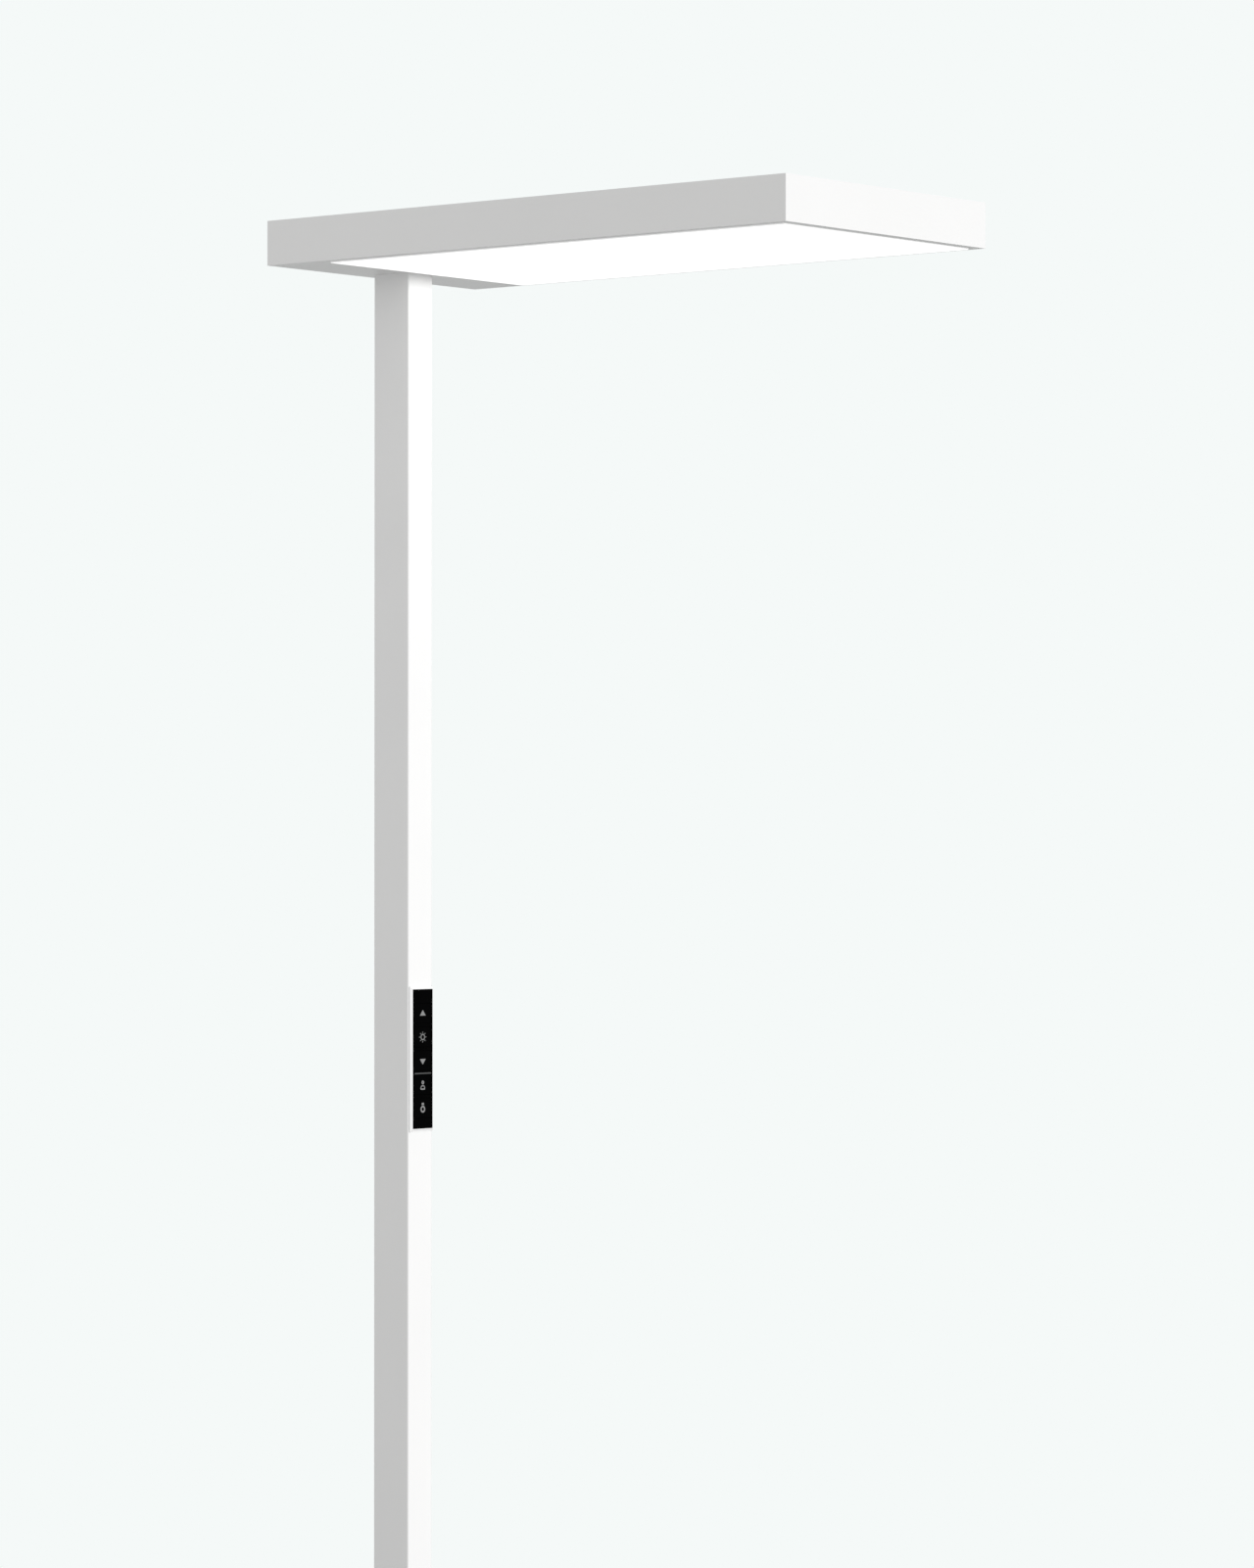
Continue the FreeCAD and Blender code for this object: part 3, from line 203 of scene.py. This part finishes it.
def opal():
    """Opal diffuser: its face glows with emission for the boards that light it from behind; its turned-up
    edge has painted shade, a dark grey colour and a weaker glow.
    """
    looks = Looks("opal_looks", Specular_IOR_Level=0.35, Emission_Strength=0.7)
    cloud = looks.noise(0.09, 2.0)
    skin = looks.noise(0.0012, 2.0)
    upward = looks.add("ShaderNodeSeparateXYZ")
    looks.join(looks.add("ShaderNodeNewGeometry").outputs["Normal"], upward.inputs[0])
    face = looks.between(upward.outputs["Z"], 1.0, 0.0, FACE_DOWN, EDGE_STARTS)
    body = looks.colours(cloud, (0.90, 0.90, 0.885), (0.93, 0.93, 0.92))
    glow = looks.colours(cloud, (0.98, 0.985, 0.975), (1.0, 1.0, 0.99))
    # Painted shade: the edge gets a dark base colour and a dimmer glow than the face.
    for socket, edge, lit in (("Base Color", EDGE_SHADE_COLOUR, body), ("Emission Color", EDGE_SHADED_GLOW, glow)):
        looks.join(looks.mixed(face, edge, lit), looks.shader.inputs[socket])
    looks.vary("Roughness", skin, 0.34, 0.46)
    looks.relief((skin, 0.00002))
    return looks


# Distances from a board row over which the painted glow band fades from bright to dim.
PAINTED_GLOW_FADE = (6 * MM, 45 * MM)


def satin_clear():
    """Satin acrylic over the upward boards, with painted glow: two soft bright bands of emission are
    painted where the two board rows lie, over a faint glow elsewhere.
    """
    looks = Looks("satin_clear_looks", Specular_IOR_Level=0.4, Emission_Strength=0.5)
    cloud = looks.noise(0.06, 2.0)
    skin = looks.noise(0.0010, 2.0)
    across = looks.add("ShaderNodeSeparateXYZ")
    looks.join(looks.place, across.inputs[0])
    side = looks.measure("ABSOLUTE", across.outputs["Y"])
    row = looks.measure("ABSOLUTE", looks.measure("SUBTRACT", side, UP_ROW))
    looks.paint(cloud, (0.80, 0.815, 0.81), (0.84, 0.85, 0.845))
    # Painted glow: emission is brightest over each board row and fades out between 6 and 45 mm from it.
    looks.paint(row, (1.0, 1.0, 0.98), (0.36, 0.37, 0.365), "Emission Color", *PAINTED_GLOW_FADE)
    looks.vary("Roughness", skin, 0.30, 0.40)
    looks.relief((skin, 0.00003))
    return looks


def foam():
    """Dark sealing foam with open pores; painted shade makes the colour darker in the pore hollows."""
    looks = Looks("foam_looks", Specular_IOR_Level=0.2)
    pores = looks.cells(0.0012, "Distance")
    # Painted shade: darker where the pores sink in.
    looks.paint(pores, (0.02, 0.02, 0.022), (0.05, 0.05, 0.053), start=0.05, stop=0.5)
    looks.vary("Roughness", pores, 0.80, 0.95, 0.0, 0.6)
    looks.relief((pores, 0.0002))
    return looks


def diode():
    """Diode with its yellow phosphor, switched on."""
    looks = Looks("diode_looks", Emission_Strength=0.9, Coat_Weight=0.4)
    cloud = looks.noise(0.002, 2.0)
    looks.paint(cloud, (0.80, 0.55, 0.10), (0.92, 0.72, 0.20))
    looks.paint(cloud, (1.0, 0.90, 0.70), (1.0, 0.96, 0.84), "Emission Color")
    looks.vary("Roughness", cloud, 0.25, 0.35)
    return looks


def smooth_black():
    """Smooth black front of the key panel."""
    looks = Looks("panel_black_looks", Specular_IOR_Level=0.008)
    cloud = looks.noise(0.02, 2.0)
    skin = looks.noise(0.0006, 2.0)
    looks.paint(cloud, (0.0003, 0.0003, 0.0004), (0.0008, 0.0008, 0.0009))
    looks.vary("Roughness", skin, 0.22, 0.30)
    looks.relief((skin, 0.000004))
    return looks


FINISHES = {
    "white_paint": powder_coat("white_paint_looks", 0.855),
    "column_coat": powder_coat("column_coat_looks", 0.89, drawn=True),
    "white_screws": powder_coat("white_screws_looks", 0.86),
    "opal": opal(),
    "satin_clear": satin_clear(),
    "dark_foam": foam(),
    "black_rubber": moulded("rubber_looks", grey(0.012), 0.75, spread=0.2, Specular_IOR_Level=0.3),
    "zinc_steel": zinc("zinc_steel_looks", 0.62, 0.006),
    "zinc_screws": zinc("zinc_screws_looks", 0.55, 0.0015),
    "board_white": moulded("board_white_looks", grey(0.80, 0.01), 0.35, spread=0.02),
    "diode": diode(),
    "gear_white": moulded("gear_white_looks", grey(0.72, 0.01), 0.5),
    "gear_black": moulded("gear_black_looks", grey(0.012), 0.5, spread=0.15),
    "lead_white": moulded("lead_white_looks", grey(0.68, 0.01), 0.4),
    "lead_grey": moulded("lead_grey_looks", grey(0.12), 0.5, spread=0.1),
    "panel_white": moulded("panel_white_looks", grey(0.92), 0.35, depth=0.00001, spread=0.01),
    "panel_black": smooth_black(),
    "board_green": moulded("board_green_looks", (0.012, 0.11, 0.04), 0.3, spread=0.15),
    "switch_black": moulded("switch_black_looks", grey(0.015), 0.45, spread=0.15),
    "plug_white": moulded("plug_white_looks", grey(0.70, 0.03), 0.4),
    "gland_grey": moulded("gland_grey_looks", grey(0.55, -0.01), 0.5),
}
SYMBOL = moulded("symbol_looks", grey(0.23), 0.5, grain=0.0004, depth=0.00001, spread=0.04)
RULE = moulded("rule_looks", grey(0.045), 0.5, grain=0.0004, depth=0.00001, spread=0.04)

for part in frame["record"]["subparts"]:
    looks = FINISHES[part["material_slot"]].material
    for slot in nodes[part["node"]].material_slots:
        slot.material = looks


# ---------------------------------------------------------------- key symbols

# Outlines are in the panel's plane, in millimetres from the symbol's centre, as (y, z) pairs.

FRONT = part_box("panel_fascia")[1].x
PRINT = 0.12 * MM
SINK = 0.05 * MM
PRINT_EDGE = 0.03 * MM


def circle(centre_y, centre_z, radius, count=32):
    turns = [2 * math.pi * i / count for i in range(count)]
    return [(centre_y + radius * math.cos(turn), centre_z + radius * math.sin(turn)) for turn in turns]


def add_plate(shape, outline, hole=None):
    """Adds a flat plate of this outline, with at most one hole of as many points, to the mesh."""
    def ring(points, x):
        return [shape.verts.new((x, y * MM, z * MM)) for y, z in points]

    outer = [ring(outline, x) for x in (-SINK, PRINT)]
    inner = [ring(hole, x) for x in (-SINK, PRINT)] if hole else None
    count = len(outline)
    for i in range(count):
        j = (i + 1) % count
        shape.faces.new((outer[0][i], outer[0][j], outer[1][j], outer[1][i]))
        if inner:
            shape.faces.new((inner[0][j], inner[0][i], inner[1][i], inner[1][j]))
            shape.faces.new((outer[1][i], outer[1][j], inner[1][j], inner[1][i]))
            shape.faces.new((outer[0][j], outer[0][i], inner[0][i], inner[0][j]))
    if not inner:
        shape.faces.new(outer[1])
        shape.faces.new(list(reversed(outer[0])))


def symbol(name, body, height, plates, looks):
    """One printed symbol, made of plates, on the panel's front at this height in metres."""
    shape = bmesh.new()
    for plate in plates:
        add_plate(shape, *plate)
    bmesh.ops.recalc_face_normals(shape, faces=shape.faces)
    mesh = bpy.data.meshes.new(name)
    shape.to_mesh(mesh)
    shape.free()
    piece = bpy.data.objects.new(name, mesh)
    bpy.context.scene.collection.objects.link(piece)
    piece.location = (FRONT, 0.0, height)
    soften = piece.modifiers.new("edge", "BEVEL")
    soften.width = PRINT_EDGE
    soften.segments = 2
    soften.limit_method = "ANGLE"
    mesh.materials.append(looks.material)
    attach(piece, body)


def moved(corner, other, radius):
    """The point that lies the radius from the corner towards the other, or half way at most."""
    dy, dz = other[0] - corner[0], other[1] - corner[1]
    reach = min(radius, math.hypot(dy, dz) / 2)
    scale = reach / math.hypot(dy, dz)
    return corner[0] + dy * scale, corner[1] + dz * scale


def rounded(points, radius, steps=5):
    """The same outline with its corners rounded by quadratic curves."""
    out = []
    for i, corner in enumerate(points):
        a = moved(corner, points[i - 1], radius)
        b = moved(corner, points[(i + 1) % len(points)], radius)
        for k in range(steps + 1):
            t = k / steps
            out.append(tuple((1 - t) ** 2 * a[n] + 2 * t * (1 - t) * corner[n] + t * t * b[n]
                             for n in (0, 1)))
    return out


def middle(node):
    """The height of the middle of this node, in metres."""
    low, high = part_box(node)
    return (low.z + high.z) / 2


def arrow(up):
    """A filled triangle with its point up where up is 1, and down where it is -1."""
    tip = 2.7 * up
    return [(rounded([(-4.2, -tip), (4.2, -tip), (0.0, tip)], 0.4),)]


def loop(points, radius, stroke):
    """A closed line of about this stroke along a convex outline, which gets rounded corners."""
    middle_y = sum(y for y, _ in points) / len(points)
    middle_z = sum(z for _, z in points) / len(points)
    reach_y = max(abs(y - middle_y) for y, _ in points)
    reach_z = max(abs(z - middle_z) for _, z in points)
    inner = [(middle_y + (y - middle_y) * (1 - stroke / reach_y),
              middle_z + (z - middle_z) * (1 - stroke / reach_z)) for y, z in points]
    return rounded(points, radius), rounded(inner, radius * 0.7)


def sun(rays=8):
    """A ring with short rays around it."""
    plates = [(circle(0, 0, 3.1), circle(0, 0, 2.1))]
    for ray in range(rays):
        turn = 2 * math.pi * ray / rays
        along = (math.cos(turn), math.sin(turn))
        across = (-along[1], along[0])
        outline = [(along[0] * r + across[0] * s, along[1] * r + across[1] * s)
                   for r, s in ((3.9, -0.4), (5.1, -0.4), (5.1, 0.4), (3.9, 0.4))]
        plates.append((rounded(outline, 0.2),))
    return plates


def figure():
    """A person: a round head over shoulders."""
    shoulders = [(-3.4, -4.4), (3.4, -4.4), (3.2, -1.9), (1.9, -0.1), (-1.7, -0.1), (-3.2, -1.9)]
    return [(circle(0.1, 2.5, 1.85, 24), circle(0.1, 2.5, 0.5, 24)), loop(shoulders, 1.2, 1.15)]


def bulb():
    """A bulb that hangs from its cap."""
    cap = [(-1.7, 2.5), (1.9, 2.5), (1.6, 4.8), (-1.4, 4.8)]
    return [(circle(0.1, -1.3, 3.35), circle(0.1, -1.3, 1.75)), (rounded(cap, 0.5),)]


def rule():
    """A flat bar, a little wider than the keys."""
    return [(rounded([(-11.8, -0.6), (11.8, -0.6), (11.8, 0.6), (-11.8, 0.6)], 0.4),)]


# Each key with the plates of its symbol and how far in millimetres this lies above the key's middle.
KEYS = (
    ("brighter", arrow(1), 0.5),
    ("light", sun(), 0.0),
    ("dimmer", arrow(-1), -1.0),
    ("presence", figure(), -0.6),
    ("daylight", bulb(), 0.4),
)
RULE_LIFT = -0.7 * MM

for key, plates, lift in KEYS:
    symbol(f"{key}_symbol", f"key_{key}_cap", middle(f"key_{key}") + lift * MM, plates, SYMBOL)
between_keys = (middle("key_dimmer") + middle("key_presence")) / 2
symbol("panel_rule", "stand", between_keys + RULE_LIFT, rule(), RULE)


# ---------------------------------------------------------------- floor, light and camera

BACKGROUND = (0.913, 0.947, 0.939)
SKY = 0.735
SKY_COLOUR = (1.0, 1.0, 0.995)
FLOOR_BOUNCE = 0.45
FLOOR_ALBEDO = 0.9
FLOOR_RADIUS = 5.0
SUN_STRENGTH = 1.54
SUN_SPREAD = math.radians(1.8)
SUN_ELEVATION = math.radians(0.9)
SUN_AZIMUTH = math.radians(-2.0)
CAMERA_PLACE = (3.3600, -4.1329, 1.3632)
CAMERA_TURN = (math.radians(90.603), 0.0, math.radians(39.053))
CAMERA_LENS = 131.95
CAMERA_SENSOR = 36.0
CAMERA_REACH = 60.0


def seen_directly(tree):
    """1 for rays that show the background: from the camera, mirrored, or through glass."""
    path = tree.nodes.new("ShaderNodeLightPath")
    total = path.outputs["Is Camera Ray"]
    for name in ("Is Glossy Ray", "Is Transmission Ray"):
        larger = tree.nodes.new("ShaderNodeMath")
        larger.operation = "MAXIMUM"
        tree.links.new(total, larger.inputs[0])
        tree.links.new(path.outputs[name], larger.inputs[1])
        total = larger.outputs[0]
    return total


def set_world():
    """Even light from all round, behind a plain pale background."""
    world = bpy.data.worlds.new("studio")
    bpy.context.scene.world = world
    world.use_nodes = True
    tree = world.node_tree
    tree.nodes.clear()
    light = tree.nodes.new("ShaderNodeBackground")
    light.inputs["Color"].default_value = (*SKY_COLOUR, 1.0)
    light.inputs["Strength"].default_value = SKY
    shown = tree.nodes.new("ShaderNodeBackground")
    shown.inputs["Color"].default_value = (*BACKGROUND, 1.0)
    mix = tree.nodes.new("ShaderNodeMixShader")
    out = tree.nodes.new("ShaderNodeOutputWorld")
    tree.links.new(seen_directly(tree), mix.inputs[0])
    tree.links.new(light.outputs[0], mix.inputs[1])
    tree.links.new(shown.outputs[0], mix.inputs[2])
    tree.links.new(mix.outputs[0], out.inputs[0])


def floor_looks():
    """Shown as the background with the object's shadow on it, dimmer in the light it sends back,
    and not seen at all from below."""
    material = bpy.data.materials.new("floor_looks")
    material.use_nodes = True
    tree = material.node_tree
    tree.nodes.clear()
    bounce = tree.nodes.new("ShaderNodeBsdfDiffuse")
    bounce.inputs["Color"].default_value = (*grey(FLOOR_BOUNCE), 1.0)
    pale = tree.nodes.new("ShaderNodeBsdfDiffuse")
    pale.inputs["Color"].default_value = (*grey(FLOOR_ALBEDO), 1.0)
    lift = tree.nodes.new("ShaderNodeEmission")
    lift.inputs["Color"].default_value = (*(c - FLOOR_ALBEDO * SKY for c in BACKGROUND), 1.0)
    shown = tree.nodes.new("ShaderNodeAddShader")
    mix = tree.nodes.new("ShaderNodeMixShader")
    below = tree.nodes.new("ShaderNodeMixShader")
    out = tree.nodes.new("ShaderNodeOutputMaterial")
    tree.links.new(pale.outputs[0], shown.inputs[0])
    tree.links.new(lift.outputs[0], shown.inputs[1])
    tree.links.new(seen_directly(tree), mix.inputs[0])
    tree.links.new(bounce.outputs[0], mix.inputs[1])
    tree.links.new(shown.outputs[0], mix.inputs[2])
    tree.links.new(tree.nodes.new("ShaderNodeNewGeometry").outputs["Backfacing"], below.inputs[0])
    tree.links.new(mix.outputs[0], below.inputs[1])
    tree.links.new(tree.nodes.new("ShaderNodeBsdfTransparent").outputs[0], below.inputs[2])
    tree.links.new(below.outputs[0], out.inputs[0])
    return material


def set_floor():
    mesh = bpy.data.meshes.new("floor")
    shape = bmesh.new()
    bmesh.ops.create_circle(shape, cap_ends=True, segments=96, radius=FLOOR_RADIUS)
    shape.to_mesh(mesh)
    shape.free()
    floor = bpy.data.objects.new("floor", mesh)
    bpy.context.scene.collection.objects.link(floor)
    mesh.materials.append(floor_looks())


def set_sun():
    """A low sun from the head's free end, which is the side that the photograph has brightest."""
    lamp = bpy.data.lights.new("side_light", "SUN")
    lamp.energy = SUN_STRENGTH
    lamp.angle = SUN_SPREAD
    side_light = bpy.data.objects.new("side_light", lamp)
    bpy.context.scene.collection.objects.link(side_light)
    side_light.rotation_euler = (0.0, math.pi / 2 - SUN_ELEVATION, SUN_AZIMUTH)


def set_camera():
    """The camera at the photograph's viewing angle."""
    data = bpy.data.cameras.new("camera")
    data.lens = CAMERA_LENS
    data.sensor_width = CAMERA_SENSOR
    data.clip_end = CAMERA_REACH
    camera = bpy.data.objects.new("camera", data)
    bpy.context.scene.collection.objects.link(camera)
    camera.location = CAMERA_PLACE
    camera.rotation_euler = CAMERA_TURN
    bpy.context.scene.camera = camera


set_world()
set_floor()
set_sun()
set_camera()
bpy.context.scene.view_settings.view_transform = "Standard"
